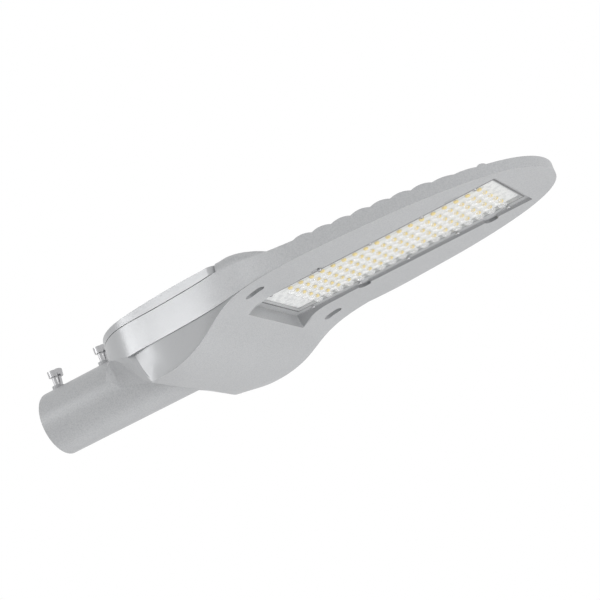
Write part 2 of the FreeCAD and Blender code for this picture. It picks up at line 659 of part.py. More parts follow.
def padded(name, corners, level, thickness):
    """A body: one sketch in plan, padded upwards from a level."""
    body = doc.addObject("PartDesign::Body", name)
    sketch = drawn(body, name + "_sketch", "XY_Plane", corners)
    sketch.setExpression("AttachmentOffset.Base.z", bound(level))
    pad = body.newObject("PartDesign::Pad", name + "_pad")
    pad.Profile = sketch
    bind(pad, Length=thickness)
    doc.recompute()
    return body


def pocketed(body, name, corners, level, depth):
    """A pocket cut downwards into a body from a level."""
    sketch = drawn(body, name + "_sketch", "XY_Plane", corners)
    sketch.setExpression("AttachmentOffset.Base.z", bound(level))
    pocket = body.newObject("PartDesign::Pocket", name)
    pocket.Profile = sketch
    bind(pocket, Length=depth)
    doc.recompute()
    return pocket


def turned(name, corners):
    """A body turned about the X axis from a half profile of place and radius."""
    body = doc.addObject("PartDesign::Body", name)
    sketch = drawn(body, name + "_sketch", "XZ_Plane", corners)
    turn = body.newObject("PartDesign::Revolution", name + "_turn")
    turn.Profile = sketch
    turn.ReferenceAxis = (sketch, ["H_Axis"])
    turn.Angle = 360
    doc.recompute()
    return body


LED_COLUMNS = 18
LED_ROWS = 5
DOME_SIDES = 8


def dome_shape():
    """One lens dome, facet by facet, from its root in the plate down to its crown."""
    rings = []
    for radius, level in (("dome_radius", 0.4), ("dome_shoulder", -size("dome_step")),
                          ("dome_crown", -size("dome_height"))):
        turns = [2 * math.pi * (k + 0.5) / DOME_SIDES for k in range(DOME_SIDES + 1)]
        rings.append(Part.makePolygon([V(size(radius) * math.cos(t), size(radius) * math.sin(t), level)
                                       for t in turns]))
    return Part.makeLoft(rings, True, True)


DOME = dome_shape()


def lens_panel():
    """One clear moulding: a flange with a dome over each chip and ways for its screws."""
    low = ("window_rear + lens_gap", "-1 * window_half + lens_gap", "lens_face")
    high = ("window_front - lens_gap", "window_half - lens_gap", "ledge_level")
    plate = box("lens_plate", low, high)
    domes = []
    for i in range(LED_COLUMNS):
        for j in range(LED_ROWS):
            dome = fixed_shape("dome_%d_%d" % (i, j), DOME.copy())
            place(dome, "led_first + %d * led_pitch" % i, "%d * led_row_pitch" % (j - 2), "lens_face")
            domes.append(dome)
    ways = [rod("lens_way_%d" % i, UP, (x, y, "lens_face - 1"), "lens_shank_radius + 0.25", "4")
            for i, (x, y) in enumerate(LENS_SCREWS)]
    return minus("lens_panel", joined("lens_blank", [plate] + domes), joined("lens_ways", ways))


def led_chips():
    items = []
    for i in range(LED_COLUMNS):
        for j in range(LED_ROWS):
            x = "led_first + %d * led_pitch" % i
            y = "%d * led_row_pitch" % (j - 2)
            top = "ceiling_level - pad_thick - board_thick"
            items.append(box("chip_%d_%d" % (i, j), (x + " - led_side / 2", y + " - led_side / 2",
                                                     top + " - led_thick"),
                             (x + " + led_side / 2", y + " + led_side / 2", top)))
    return gathered("led_chips", items)


def gear():
    """The electrical parts in the compartment, and what holds them."""
    nodes = []
    tray = padded("tray_plate", rectangle(("tray_rear", "-tray_half"), ("tray_front", "tray_half")),
                  "tray_level", "tray_thick")
    ways = [rod("tray_way_%d" % i, UP, (x, y, "tray_level - 1"), "small_hole + 0.2", "4")
            for i, (x, y) in enumerate(TRAY_SCREWS)]
    nodes.append(minus("gear_tray", tray, joined("tray_ways", ways)))
    foot = "driver_half + driver_foot"
    driver = padded("driver_feet", rectangle(("driver_rear", "-1 * (%s)" % foot), ("driver_front", foot)),
                    "tray_level + tray_thick", "foot_thick")
    block = drawn(driver, "driver_case", "XY_Plane", rectangle(("driver_rear", "-driver_half"),
                                                              ("driver_front", "driver_half")))
    block.setExpression("AttachmentOffset.Base.z", bound("tray_level + tray_thick"))
    case = driver.newObject("PartDesign::Pad", "driver_case_pad")
    case.Profile = block
    bind(case, Length="driver_height")
    doc.recompute()
    driver_ways = [rod("driver_way_%d" % i, UP, (x, y, "tray_level"), "small_hole + 0.2", "8")
                   for i, (x, y) in enumerate(TRAY_SCREWS)]
    nodes.append(minus("driver", driver, joined("driver_ways", driver_ways)))
    top = "tray_level + tray_thick + foot_thick"
    nodes.append(screws("driver_screws", TRAY_SCREWS, top, "small_head", "small_head_height",
                        "small_shank", "tray_level - 6"))
    shelf = "shelf_level"
    terminal = padded("terminal_block", rectangle(("terminal_rear", "terminal_low"),
                                                  ("terminal_rear + terminal_length",
                                                   "terminal_low + terminal_width")), shelf, "terminal_height")
    for i in range(3):
        y = "terminal_low + 4 + %d * 12" % i
        pocketed(terminal, "terminal_way_%d" % i, rectangle(("terminal_rear + 8", y),
                                                            ("terminal_rear + 16", y + " + 6")),
                 "shelf_level + terminal_height", "6")
    nodes.append(terminal)
    surge = padded("surge_protector", rectangle(("surge_rear", "-terminal_low - surge_width"),
                                                ("surge_rear + surge_length", "-terminal_low")),
                   shelf, "surge_height")
    nodes.append(surge)
    nodes.append(screws("earth_screw", [("earth_place", "earth_offset")], "shelf_level", "small_head + 1",
                        "small_head_height + 1", "small_shank", "shelf_level - 2.5"))
    rear = "bore_length + stop_wall"
    gland = turned("cable_gland", [("bore_length + relief_length", "gland_way"),
                                   ("bore_length + relief_length", "gland_hole - 0.05"),
                                   (rear, "gland_hole - 0.05"), (rear, "gland_flange"),
                                   (rear + " + gland_flange_thick", "gland_flange"),
                                   (rear + " + gland_flange_thick", "gland_dome"),
                                   (rear + " + gland_length", "gland_dome - 2"),
                                   (rear + " + gland_length", "gland_way")])
    nodes.append(gland)
    grommet = turned("lead_grommet_body", [("front_wall - lip_thick", "lead_radius + 0.05"),
                                           ("front_wall - lip_thick", "grommet_lip"),
                                           ("front_wall", "grommet_lip"), ("front_wall", "lead_hole"),
                                           ("front_wall + grommet_length", "lead_hole"),
                                           ("front_wall + grommet_length", "lead_radius + 0.05")])
    raised = fixed_copy("lead_grommet", grommet, "lead_level")
    nodes.append(raised)
    nodes.append(rod("output_lead", ALONG, ("driver_front", "0", "lead_level"), "lead_radius",
                     "link_rear - driver_front"))
    supply = [rod("supply_core_%d" % i, ALONG, ("terminal_rear + terminal_length", "41 + %d * 7" % i, "14"),
                  "lead_radius", "driver_rear - terminal_rear - terminal_length") for i in range(2)]
    nodes.append(gathered("supply_leads", supply))
    return nodes


def fixed_copy(name, body, level):
    """A body set at its own level through a link, so that its sketch stays on the axis."""
    body.setExpression("Placement.Base.z", bound(level))
    return named(body, name)


def named(obj, label):
    obj.Label = label
    return obj


def optics():
    """The LED module in the window: pad, board, chips, connector, seal, lens and screws."""
    board_top = "ceiling_level - pad_thick"
    pad = padded("thermal_pad", rectangle(("pad_rear", "-pocket_half + board_gap"),
                                          ("pocket_front - board_gap", "pocket_half - board_gap")),
                 board_top, "pad_thick")
    board = padded("led_board", rectangle(("pocket_rear + board_gap", "-pocket_half + board_gap"),
                                          ("pocket_front - board_gap", "pocket_half - board_gap")),
                   board_top + " - board_thick", "board_thick")
    link = padded("board_connector", rectangle(("link_rear", "-link_half"),
                                               ("link_rear + link_length", "link_half")),
                  board_top, "link_height")
    seal = named(lens_seal_ring("lens_gasket"), "lens_gasket")
    lens = lens_panel()
    lens_screws = screws("lens_screws", LENS_SCREWS, "lens_face - lens_head_height", "lens_head_radius",
                         "lens_head_height", "lens_shank_radius", "lens_screw_depth + 1.4", point_up=True)
    return [pad, board, link, seal, lens, lens_screws, led_chips()]


def build():
    nodes = [housing(), top_cover(), cover_seal_ring("cover_gasket", "seal_depth + seam_gap")]
    nodes.append(screws("cover_screws", COVER_SCREWS, "screw_seat", "cover_head",
                        "cover_head_height", "cover_shank", "seam_level - cover_screw_depth"))
    nodes.append(set_screws("outer_set_screws", "set_place"))
    nodes.append(set_screws("inner_set_screws", "set_second"))
    nodes += optics()
    nodes += gear()
    doc.recompute()
    return nodes


def check(nodes):
    for item in doc.Objects:
        if "Invalid" in item.State or "Error" in item.State:
            raise RuntimeError("failed: %s %s" % (item.Name, item.State))
    for item in nodes:
        shape = item.Shape
        if shape.isNull() or not shape.isValid() or not shape.Solids:
            raise RuntimeError("no valid solid: " + item.Label)


def export(nodes):
    os.makedirs("parts", exist_ok=True)
    for item in nodes:
        item.Shape.exportStep("parts/%s.step" % item.Label)
        print("%-20s solids %3d  volume %10.1f" % (item.Label, len(item.Shape.Solids), item.Shape.Volume))


NODES = build()
check(NODES)
export(NODES)
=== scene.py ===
"""Looks of an LED street light head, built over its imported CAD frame.

The frame brings every solid of the head. This script gives each of them its finish, adds the
fine pieces that solids leave out, and sets the camera, the lamps and the pale studio.
"""

import logging
import math
from dataclasses import dataclass, field
from enum import Enum
from typing import Any, Callable, Optional, Sequence, Union

import bmesh
import bpy
from mathutils import Matrix, Vector

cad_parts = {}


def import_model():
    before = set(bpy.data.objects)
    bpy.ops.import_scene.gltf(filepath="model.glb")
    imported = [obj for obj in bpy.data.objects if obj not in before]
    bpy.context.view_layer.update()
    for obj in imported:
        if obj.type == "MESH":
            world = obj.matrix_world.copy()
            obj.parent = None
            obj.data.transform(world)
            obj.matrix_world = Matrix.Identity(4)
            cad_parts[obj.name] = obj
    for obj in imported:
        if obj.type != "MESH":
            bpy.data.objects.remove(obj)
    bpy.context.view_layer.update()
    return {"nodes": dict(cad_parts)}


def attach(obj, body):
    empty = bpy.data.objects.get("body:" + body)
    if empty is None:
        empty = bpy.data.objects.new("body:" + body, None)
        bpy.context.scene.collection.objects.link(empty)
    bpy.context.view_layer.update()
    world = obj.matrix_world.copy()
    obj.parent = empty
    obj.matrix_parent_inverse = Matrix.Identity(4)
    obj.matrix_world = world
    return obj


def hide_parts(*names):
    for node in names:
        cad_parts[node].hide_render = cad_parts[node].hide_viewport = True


log = logging.getLogger("street_light_head")

MM = 0.001
MM_IN_A_METRE = 1000.0
ROOT = "root"
WHITE = (1.0, 1.0, 1.0)

# Sockets of a Mix node that blends colours, by index.
MIX_FACTOR, MIX_FIRST, MIX_SECOND = 0, 6, 7
MIX_RESULT = 2

# What the noise texture gives on average.
NOISE_MEAN = 0.5
# How much of each finer octave goes into the noise.
NOISE_ROUGHNESS = 0.55
# Whole pitches that are added, so that a place before the first one still counts as positive.
PITCHES_BEFORE = 40.0

Colour = tuple[float, float, float]
Point = tuple[float, float, float]
Range = tuple[float, float]


class Value:
    """A shader socket that takes part in Python arithmetic."""

    def __init__(self, maker: "Shader", socket: bpy.types.NodeSocket) -> None:
        """Keeps the socket and the shader it belongs to.

        Args:
            maker: the shader whose nodes the arithmetic adds to.
            socket: an output socket.
        """
        self.maker = maker
        self.socket = socket

    def __add__(self, other: "Number") -> "Value":
        """Sum of two values."""
        return self.maker.maths("ADD", self, other)

    def __sub__(self, other: "Number") -> "Value":
        """This value less another."""
        return self.maker.maths("SUBTRACT", self, other)

    def __rsub__(self, other: "Number") -> "Value":
        """Another value less this one."""
        return self.maker.maths("SUBTRACT", other, self)

    def __mul__(self, other: "Number") -> "Value":
        """Product of two values."""
        return self.maker.maths("MULTIPLY", self, other)

    def __truediv__(self, other: "Number") -> "Value":
        """This value divided by another."""
        return self.maker.maths("DIVIDE", self, other)

    def __lt__(self, other: "Number") -> "Value":
        """One where this value is the smaller."""
        return self.maker.maths("LESS_THAN", self, other)

    __radd__ = __add__
    __rmul__ = __mul__


Number = Union[Value, float]


class Shader:
    """The node tree of one material, written as Python expressions."""

    def __init__(self, name: str) -> None:
        """Makes an empty material.

        Args:
            name: the material's name.
        """
        self.material = bpy.data.materials.new(name)
        self.material.use_nodes = True
        self.nodes = self.material.node_tree.nodes
        self.links = self.material.node_tree.links
        self.nodes.clear()

    def node(self, kind: str, settings: Optional[dict[str, Any]] = None,
             output: Union[int, str] = 0, **inputs: Any) -> Value:
        """Adds a node.

        Args:
            kind: the node's type, without its ShaderNode prefix.
            settings: attributes that are set before any socket.
            output: which of its outputs to hand back.
            inputs: socket names, with _ for a space, or in0, in1 for a place.

        Returns:
            One output of the node.
        """
        made = self.nodes.new("ShaderNode" + kind)
        for key, setting in (settings or {}).items():
            setattr(made, key, setting)
        for key, given in inputs.items():
            by_place = key.startswith("in") and key[2:].isdigit()
            self.feed(made.inputs[int(key[2:]) if by_place else key.replace("_", " ")], given)
        return Value(self, made.outputs[output])

    def feed(self, socket: bpy.types.NodeSocket, given: Any) -> None:
        """Links a value to a socket, or sets a plain number or colour on it.

        Args:
            socket: an input socket.
            given: a value, a number, a vector or a colour.
        """
        if isinstance(given, Value):
            self.links.new(given.socket, socket)
        elif isinstance(given, tuple) and len(given) == 3 and socket.type == "RGBA":
            socket.default_value = (*given, 1.0)
        else:
            socket.default_value = given

    def maths(self, operation: str, a: Number, b: Number = 0.0) -> Value:
        """One Math node."""
        return self.node("Math", {"operation": operation}, in0=a, in1=b)

    def split(self, vector: Value) -> tuple[Value, Value, Value]:
        """The three parts of a vector."""
        parts = self.node("SeparateXYZ", Vector=vector).socket.node.outputs
        return tuple(Value(self, socket) for socket in parts)

    def axes(self) -> tuple[Value, Value, Value]:
        """The three object coordinates, in metres."""
        return self.split(self.node("TexCoord", output="Object"))

    def noise(self, scale: float, detail: float = 2.0, stretch: Point = (1.0, 1.0, 1.0)) -> Value:
        """Fractal noise about its mean, on object coordinates.

        Args:
            scale: how fine it is.
            detail: how many octaves it has.
            stretch: factors on the coordinates along the three axes.

        Returns:
            The noise, from 0 to 1.
        """
        spot = self.node("Mapping", Vector=self.node("TexCoord", output="Object"), Scale=stretch)
        return self.node("TexNoise", Vector=spot, Scale=scale, Detail=detail,
                         Roughness=NOISE_ROUGHNESS)

    def band(self, value: Number, low: float, high: float,
             start: float = 0.0, end: float = 1.0) -> Value:
        """A smooth step.

        Args:
            value: what is compared.
            low: where the step begins.
            high: where it ends.
            start: result below the step.
            end: result above it.

        Returns:
            The stepped value.
        """
        settings = {"interpolation_type": "SMOOTHSTEP"}
        return self.node("MapRange", settings, in0=value, in1=low, in2=high, in3=start, in4=end)

    def fall(self, value: Number, low: float, high: float) -> Value:
        """A smooth step down, from one to zero."""
        return self.band(value, low, high, start=1.0, end=0.0)

    def off_middle(self, place: Value, first: float, pitch: float) -> Value:
        """Distance from the nearest place of an even row.

        Args:
            place: a coordinate, in metres.
            first: the coordinate of the row's first place.
            pitch: metres between two places.

        Returns:
            The distance in pitches, from zero to one half.
        """
        pitches = (place - first) / pitch + (PITCHES_BEFORE + 0.5)
        return self.maths("ABSOLUTE", self.maths("FRACT", pitches) - 0.5)

    def mix(self, factor: Number, a: Any, b: Any) -> Value:
        """A blend of two colours.

        Args:
            factor: the second colour's share.
            a: the first colour, or a value that carries it.
            b: the second colour, or a value that carries it.

        Returns:
            The blend.
        """
        made = self.nodes.new("ShaderNodeMix")
        made.data_type = "RGBA"
        for index, given in ((MIX_FACTOR, factor), (MIX_FIRST, a), (MIX_SECOND, b)):
            self.feed(made.inputs[index], given)
        return Value(self, made.outputs[MIX_RESULT])

    def bump(self, height: Value, depth: float) -> Value:
        """A normal bent by a height from 0 to 1, with the depth of height 1 in metres."""
        return self.node("Bump", Height=height, Distance=depth, Strength=1.0)

    def surface(self, **inputs: Any) -> bpy.types.Material:
        """Ends the tree in a Principled BSDF with the given sockets."""
        return self.end(self.node("BsdfPrincipled", **inputs))

    def end(self, shader: Value) -> bpy.types.Material:
        """Joins a shader to the output.

        Args:
            shader: the shader that covers the surface.

        Returns:
            The finished material.
        """
        output = self.nodes.new("ShaderNodeOutputMaterial")
        self.links.new(shader.socket, output.inputs["Surface"])
        return self.material


Mask = Callable[[Shader], Value]


@dataclass(frozen=True)
class Box:
    """The corners of a box along the axes, in metres."""

    low: Vector
    high: Vector

    @classmethod
    def around(cls, places: Sequence[Vector]) -> "Box":
        """The smallest box around some places."""
        ends = [[pick(place[axis] for place in places) for axis in range(3)] for pick in (min, max)]
        return cls(Vector(ends[0]), Vector(ends[1]))

    @classmethod
    def of(cls, item: bpy.types.Object) -> "Box":
        """The smallest box around an object's mesh."""
        return cls.around([item.matrix_world @ vertex.co for vertex in item.data.vertices])

    @property
    def middle(self) -> Vector:
        """The box's middle."""
        return (self.low + self.high) / 2


@dataclass(frozen=True)
class LedField:
    """The grid of LEDs, read from the chips of the frame. Sizes are in millimetres."""

    chips: Box
    columns: int = 18
    rows: int = 5
    chip_side: float = 3.6

    @property
    def first(self) -> Vector:
        """Middle of the chip at the low corner."""
        half = self.chip_side * MM / 2
        return Vector((self.chips.low.x + half, self.chips.low.y + half, self.chips.low.z))

    @property
    def pitch(self) -> float:
        """Metres between columns."""
        return (self.chips.high.x - self.chips.low.x - self.chip_side * MM) / (self.columns - 1)

    @property
    def row_pitch(self) -> float:
        """Metres between rows."""
        return (self.chips.high.y - self.chips.low.y - self.chip_side * MM) / (self.rows - 1)

    def places(self, level: float) -> list[Vector]:
        """Every LED's place in plan, at a level.

        Args:
            level: the height of the places, in metres.

        Returns:
            The places, column by column.
        """
        first = self.first
        return [Vector((first.x + column * self.pitch, first.y + row * self.row_pitch, level))
                for column in range(self.columns) for row in range(self.rows)]


def dimmed(colour: Colour, share: float) -> Colour:
    """A colour with each of its parts cut to a share."""
    return tuple(part * share for part in colour)


@dataclass(frozen=True)
class CastPaint:
    """Silver-grey powder coat: satin on smooth walls, matt and grained on textured faces,
    with painted shade where a mask asks for it.
    """

    colour: Colour = (0.477, 0.483, 0.491)
    dark: Colour = (0.40, 0.408, 0.42)
    # The colour that painted shade darkens the paint towards.
    shade: Colour = (0.16, 0.163, 0.17)
    matt: float = 0.42
    satin: float = 0.32
    gloss_spread: float = 0.12
    matt_metal: float = 0.15
    satin_metal: float = 0.45
    grain_scale: float = 720.0
    grain_depth: float = 0.00025
    grain_lost: float = 0.85
    grain_tone: float = 4.0
    cloud_scale: float = 38.0
    cloud_tone: float = 0.3
    detail: float = 3.0
    tone: float = 0.6

    def build(self, name: str, zone: Optional[Mask] = None,
              shaded: Optional[Mask] = None) -> bpy.types.Material:
        """Makes the paint.

        Args:
            name: the material's name.
            zone: makes a mask that is one on smooth walls. Without it the whole piece is smooth.
            shaded: makes a mask that grows where shade is painted, darkening the paint's colour.

        Returns:
            The material.
        """
        s = Shader(name)
        grain = s.noise(self.grain_scale, self.detail)
        cloud = s.noise(self.cloud_scale, self.detail)
        smooth = zone(s) if zone else 1.0
        grained = 1.0 - smooth * self.grain_lost
        tone = ((grain - NOISE_MEAN) * grained * self.grain_tone
                + (cloud - NOISE_MEAN) * self.cloud_tone + self.tone)
        colour = s.mix(tone, self.dark, self.colour)
        # Painted shade: where the mask grows, the colour is darkened towards the shade colour.
        if shaded:
            colour = s.mix(shaded(s), colour, self.shade)
        rough = (self.matt + smooth * (self.satin - self.matt)
                 + (grain - NOISE_MEAN) * self.gloss_spread)
        metal = smooth * (self.satin_metal - self.matt_metal) + self.matt_metal
        return s.surface(Base_Color=colour, Roughness=rough, Metallic=metal,
                         Normal=s.bump(grain * grained, self.grain_depth))


@dataclass(frozen=True)
class SmoothWalls:
    """Where the housing's paint is smooth: its side walls and the flanks of its belly.

    Each border is drawn as it is seen from the side, in millimetres.
    """

    neck_start: float = 97.0
    neck_level: float = 27.0
    neck_slope: float = 0.62
    neck_blur: float = 0.3
    roof_start: float = 282.0
    roof_level: float = 30.6
    roof_slope: float = 0.174
    roof_blur: float = 0.4
    blade_start: float = 340.0
    belly_start: float = 203.0
    belly_end: float = 325.0
    belly_level: float = -36.0
    belly_blur: Range = (1.0, 2.6)
    skin_level: float = 0.5
    middle: float = 30.0
    middle_blur: float = 1.0
    flank_start: float = 150.0
    flank_blur: float = 1.0
    fade_start: float = 225.0
    fade_end: float = 292.0
    blade_share: float = 0.25

    def __call__(self, s: Shader) -> Value:
        """Makes the mask.

        Args:
            s: the paint's shader.

        Returns:
            One where the paint is smooth, less along the blade, and zero elsewhere.
        """
        x, y, z = (axis * MM_IN_A_METRE for axis in s.axes())
        foot = s.band(x, self.belly_start, self.belly_end, self.belly_level, self.skin_level)
        over_belly = s.band(z - foot, *self.belly_blur)
        over_neck = s.band(z + (x - self.neck_start) * self.neck_slope,
                           self.neck_level - self.neck_blur, self.neck_level + self.neck_blur)
        on_flank = s.band(x, self.flank_start, self.flank_start + self.flank_blur)
        over_neck = s.maths("MAXIMUM", over_neck, on_flank)
        along = s.maths("MINIMUM", x, self.blade_start) - self.roof_start
        under_roof = s.fall(z + along * self.roof_slope,
                            self.roof_level, self.roof_level + self.roof_blur)
        outside = s.band(s.maths("ABSOLUTE", y), self.middle, self.middle + self.middle_blur)
        fading = s.band(x, self.fade_start, self.fade_end, 1.0, self.blade_share)
        return over_belly * over_neck * under_roof * outside * fading


@dataclass(frozen=True)
class RecessPaintedShade:
    """Painted shade on the housing: its paint is darkened on the walls of the lens's recess.

    This painted shade gives the dark line along the recess, where its walls lie in shadow;
    it darkens the same paint and is no second paint. Sizes are in millimetres.
    """

    panel: Box
    inset: float = 0.5
    reach: float = 8.0
    front_reach: float = 4.0
    blur: float = 1.0
    wall_slope: Range = (0.93, 0.975)
    strength: float = 0.62

    def __call__(self, s: Shader) -> Value:
        """Makes the mask.

        Args:
            s: the paint's shader.

        Returns:
            The strength of the painted shade on the recess's walls, and zero elsewhere.
        """
        x, y, z = s.axes()
        blur = self.blur * MM
        side = s.maths("ABSOLUTE", y)
        edge, far = self.panel.high.y, self.panel.high.y + self.reach * MM
        beside = s.band(side, edge - self.inset * MM, edge) * s.fall(side, far, far + blur)
        rear, front = self.panel.low.x, self.panel.high.x + self.front_reach * MM
        along = s.band(x, rear, rear + blur) * s.fall(x, front, front + blur)
        _, _, upwards = s.split(s.node("NewGeometry", output="Normal"))
        on_wall = s.fall(s.maths("ABSOLUTE", upwards), *self.wall_slope)
        low = s.fall(z, self.panel.high.z, self.panel.high.z + blur)
        # Painted shade: strongest on the steep walls beside the lens, below the lens's face.
        return beside * along * on_wall * low * self.strength


@dataclass(frozen=True)
class Steel:
    """Bright turned steel, with fine rings of tool marks."""

    colour: Colour = (0.47, 0.47, 0.48)
    roughness: float = 0.2
    mark_scale: float = 1800.0
    mark_stretch: Point = (1.0, 1.0, 6.0)
    mark_tone: float = 0.82
    mark_gloss: float = 0.15
    mark_depth: float = 0.00002

    def build(self, name: str) -> bpy.types.Material:
        """Makes the steel.

        Args:
            name: the material's name.

        Returns:
            The material.
        """
        s = Shader(name)
        marks = s.noise(self.mark_scale, stretch=self.mark_stretch)
        colour = s.mix(marks, dimmed(self.colour, self.mark_tone), self.colour)
        return s.surface(Base_Color=colour, Roughness=self.roughness + marks * self.mark_gloss,
                         Metallic=1.0, Normal=s.bump(marks, self.mark_depth))


@dataclass(frozen=True)
class Moulding:
    """Moulded plastic or rubber with a fine spark-eroded grain."""

    colour: Colour
    roughness: float = 0.5
    gloss_spread: float = 0.2
    grain_scale: float = 1500.0
    grain_detail: float = 3.0
    grain_depth: float = 0.00003
    cloud_scale: float = 60.0
    cloud_tone: float = 0.88

    def build(self, name: str) -> bpy.types.Material:
        """Makes the moulding's material.

        Args:
            name: the material's name.

        Returns:
            The material.
        """
        s = Shader(name)
        grain = s.noise(self.grain_scale, self.grain_detail)
        cloud = s.noise(self.cloud_scale)
        colour = s.mix(cloud, dimmed(self.colour, self.cloud_tone), self.colour)
        rough = self.roughness + (grain - NOISE_MEAN) * self.gloss_spread
        return s.surface(Base_Color=colour, Roughness=rough,
                         Normal=s.bump(grain, self.grain_depth))


@dataclass(frozen=True)
class ClearOptic:
    """Clear moulded lens: see-through where it is met squarely, glossy at grazing angles."""

    alpha: float = 0.05
    rim: float = 0.25
    colour: Colour = (0.90, 0.91, 0.92)
    mirror: float = 0.0
    power: float = 4.0
    pale: Colour = (0.98, 0.98, 0.98)
    roughness: float = 0.08
    bending: float = 1.49
    ripple_scale: float = 220.0
    ripple_alpha: float = 0.06
    ripple_depth: float = 0.0001

    def build(self, name: str) -> bpy.types.Material:
        """Makes the clear plastic.

        Args:
            name: the material's name.

        Returns:
            The material.
        """
        s = Shader(name)
        ripple = s.noise(self.ripple_scale)
        edge = s.node("LayerWeight", Blend=0.5, output="Facing")
        alpha = (self.alpha + s.maths("POWER", edge, self.power) * self.rim
                 + (ripple - NOISE_MEAN) * self.ripple_alpha)
        return s.surface(Base_Color=s.mix(ripple, self.colour, self.pale),
                         Roughness=self.roughness, Alpha=alpha, IOR=self.bending,
                         Metallic=self.mirror, Normal=s.bump(ripple, self.ripple_depth))


@dataclass(frozen=True)
class ChipFace:
    """Pale LED packages with a square of yellow phosphor in the middle of each."""

    field: LedField
    phosphor: Colour = (0.95, 0.78, 0.30)
    deep_phosphor: Colour = (0.88, 0.72, 0.30)
    package: Colour = (0.92, 0.91, 0.86)
    phosphor_half: float = 1.9
    cloud_scale: float = 900.0
    roughness: float = 0.35
    gloss_spread: float = 0.15
    step_depth: float = 0.0001

    def build(self, name: str) -> bpy.types.Material:
        """Makes the packages' face.

        Args:
            name: the material's name.

        Returns:
            The material.
        """
        s = Shader(name)
        x, y, _ = s.axes()
        first, pitch, row_pitch = self.field.first, self.field.pitch, self.field.row_pitch
        half = self.phosphor_half * MM
        inside = ((s.off_middle(x, first.x, pitch) < half / pitch)
                  * (s.off_middle(y, first.y, row_pitch) < half / row_pitch))
        cloud = s.noise(self.cloud_scale)
        yellow = s.mix(cloud, self.phosphor, self.deep_phosphor)
        return s.surface(Base_Color=s.mix(inside, self.package, yellow),
                         Roughness=self.roughness + cloud * self.gloss_spread,
                         Normal=s.bump(inside, self.step_depth))


@dataclass(frozen=True)
class Phosphor:
    """Yellow phosphor in clear silicone."""

    colour: Colour = (0.93, 0.70, 0.20)
    pale: Colour = (0.98, 0.80, 0.30)
    roughness: float = 0.25
    gloss_spread: float = 0.15
    cloud_scale: float = 900.0
    cloud_depth: float = 0.00003

    def build(self, name: str) -> bpy.types.Material:
        """Makes the phosphor, with paler clouds in it.

        Args:
            name: the material's name.

        Returns:
            The material.
        """
        s = Shader(name)
        cloud = s.noise(self.cloud_scale)
        return s.surface(Base_Color=s.mix(cloud, self.colour, self.pale),
                         Roughness=self.roughness + cloud * self.gloss_spread,
                         Normal=s.bump(cloud, self.cloud_depth))


@dataclass(frozen=True)
class WhiteMask:
    """White solder mask, with the faint copper tracks that join the chips of each row."""

    field: LedField
    colour: Colour = (0.92, 0.93, 0.92)
    track: Colour = (0.68, 0.69, 0.69)
    track_half: Range = (0.20, 0.23)
    track_tone: float = 0.7
    track_depth: float = 0.00004
    run_out: Range = (3.0, 4.0)
    speckle_scale: float = 160.0
    speckle_step: Range = (0.45, 0.6)
    speckle_tone: float = 0.7
    weave_scale: float = 700.0
    weave_start: float = 0.4
    weave_tone: float = 0.9
    roughness: float = 0.35
    gloss_spread: float = 0.2

    def build(self, name: str) -> bpy.types.Material:
        """Makes the mask. The tracks' half width is in row pitches, their run-out in millimetres.

        Args:
            name: the material's name.

        Returns:
            The material.
        """
        s = Shader(name)
        x, y, _ = s.axes()
        full, gone = (distance * MM for distance in self.run_out)
        low, high = self.field.chips.low.x, self.field.chips.high.x
        inside = s.band(x, low - gone, low - full) * s.fall(x, high + full, high + gone)
        off_row = s.off_middle(y, self.field.first.y, self.field.row_pitch)
        on_track = s.fall(off_row, *self.track_half) * inside
        blank = (1.0 - inside) * s.band(s.noise(self.speckle_scale), *self.speckle_step)
        weave = s.noise(self.weave_scale)
        tone = (on_track * self.track_tone + (weave - self.weave_start) * self.weave_tone
                + blank * self.speckle_tone)
        return s.surface(Base_Color=s.mix(tone, self.colour, self.track),
                         Roughness=self.roughness + weave * self.gloss_spread,
                         Normal=s.bump(on_track, self.track_depth))


def facing(place: Point, aim: Point) -> Matrix:
    """Turn that points an object's -Z axis from one place to another."""
    return (Vector(aim) - Vector(place)).to_track_quat("-Z", "Y").to_matrix()


@dataclass
class PhotoCamera:
    """The camera, at the photograph's place and roll."""

    place: Point = (0.8805, -1.4028, -0.4656)
    aim: Point = (0.3081, 0.0, -0.0001)
    roll: float = -20.41
    lens: float = 95.47
    sensor: float = 36.0
    clip_start: float = 0.01

    def build(self) -> None:
        """Makes the camera and sets it as the scene's."""
        data = bpy.data.cameras.new("photo_camera")
        data.lens = self.lens
        data.sensor_width = self.sensor
        data.clip_start = self.clip_start
        camera = bpy.data.objects.new("photo_camera", data)
        bpy.context.scene.collection.objects.link(camera)
        roll = Matrix.Rotation(math.radians(self.roll), 3, "Z")
        turn = facing(self.place, self.aim) @ roll
        camera.matrix_world = Matrix.Translation(self.place) @ turn.to_4x4()
        bpy.context.scene.camera = camera


@dataclass
class Lamp:
    """One soft rectangular lamp. Lengths are in metres and the power is in watts."""

    name: str
    place: Point
    aim: Point
    width: float
    height: float
    power: float

    def build(self) -> None:
        """Makes the lamp."""
        data = bpy.data.lights.new(self.name, "AREA")
        data.shape = "RECTANGLE"
        data.size = self.width
        data.size_y = self.height
        data.energy = self.power
        lamp = bpy.data.objects.new(self.name, data)
        bpy.context.scene.collection.objects.link(lamp)
        turn = facing(self.place, self.aim)
        lamp.matrix_world = Matrix.Translation(self.place) @ turn.to_4x4()


class Ray(Enum):
    """Kinds of ray that see the surround as plain white."""

    CAMERA = "Is Camera Ray"
    GLOSSY = "Is Glossy Ray"
    TRANSMISSION = "Is Transmission Ray"


